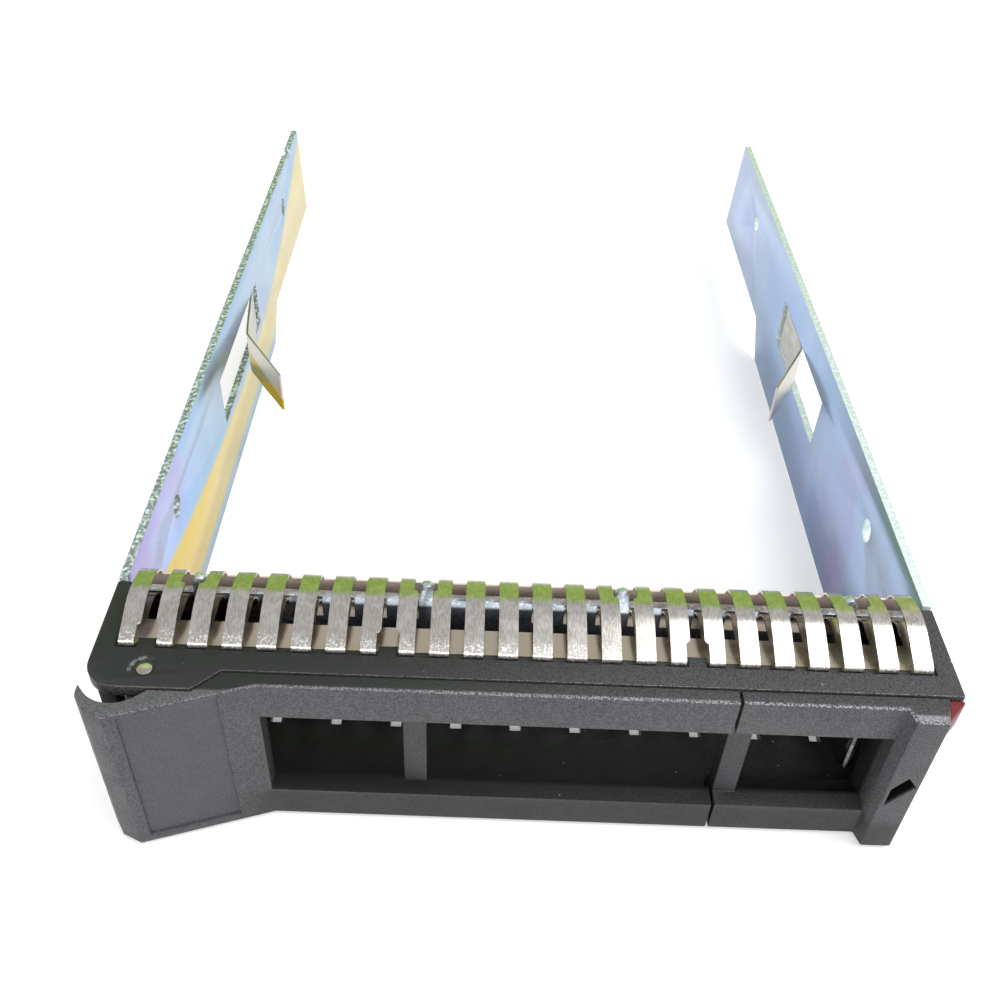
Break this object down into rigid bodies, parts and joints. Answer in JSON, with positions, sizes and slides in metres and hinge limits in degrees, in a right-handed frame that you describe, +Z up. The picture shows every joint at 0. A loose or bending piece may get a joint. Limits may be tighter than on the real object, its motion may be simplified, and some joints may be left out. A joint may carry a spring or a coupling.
{
  "type": "hot-swap hard disk drive carrier",
  "caption": "Empty hot-swap carrier for a 3.5-inch drive: steel side rails, vented cross plate, contact finger strip, and a bezel with a swinging lever and sliding latch.",
  "frame": {"origin": "middle of the carrier's length and width, on the face that it stands on with the open bay upwards", "axes": "+X to the right seen from the bezel, +Y from the bezel to the connector end, +Z up out of the bay"},
  "size_m": [0.1052, 0.1764, 0.0286],
  "materials": {
    "black_plastic": "fine matte moulded texture",
    "red_plastic": "matte",
    "zinc_sheet": "bright blue zinc plate",
    "spring_steel": "plain stainless spring strip",
    "contact_strip": "satin tin-plated spring strip",
    "nickel_steel": "nickel plate"
  },
  "bodies": {
    "frame": {"bezel_housing": "black_plastic", "pivot_pin": "nickel_steel", "lever_spring": "spring_steel", "latch_spring": "spring_steel", "emi_finger_strip": "contact_strip", "cross_plate": "zinc_sheet", "left_rail": "zinc_sheet", "right_rail": "zinc_sheet", "left_spring_clip": "spring_steel", "right_spring_clip": "spring_steel", "left_frame_rivets": "nickel_steel", "right_frame_rivets": "nickel_steel", "housing_screws": "nickel_steel"},
    "lever": {"front_lever": "black_plastic"},
    "latch": {"release_latch": "black_plastic", "latch_flag": "red_plastic"}
  },
  "joints": [
    {"name": "lever_swing", "type": "hinge", "parent": "frame", "child": "lever", "pos_m": [-0.0454, -0.08055, 0.013], "axis": [0, 0, -1], "range_deg": [0, 40]},
    {"name": "latch_slide", "type": "slide", "parent": "frame", "child": "latch", "axis": [1, 0, 0], "range_m": [0, 0.0016], "stiffness_N_per_m": 300, "springref_m": -0.001, "deforming": ["latch_spring"]}
  ]
}
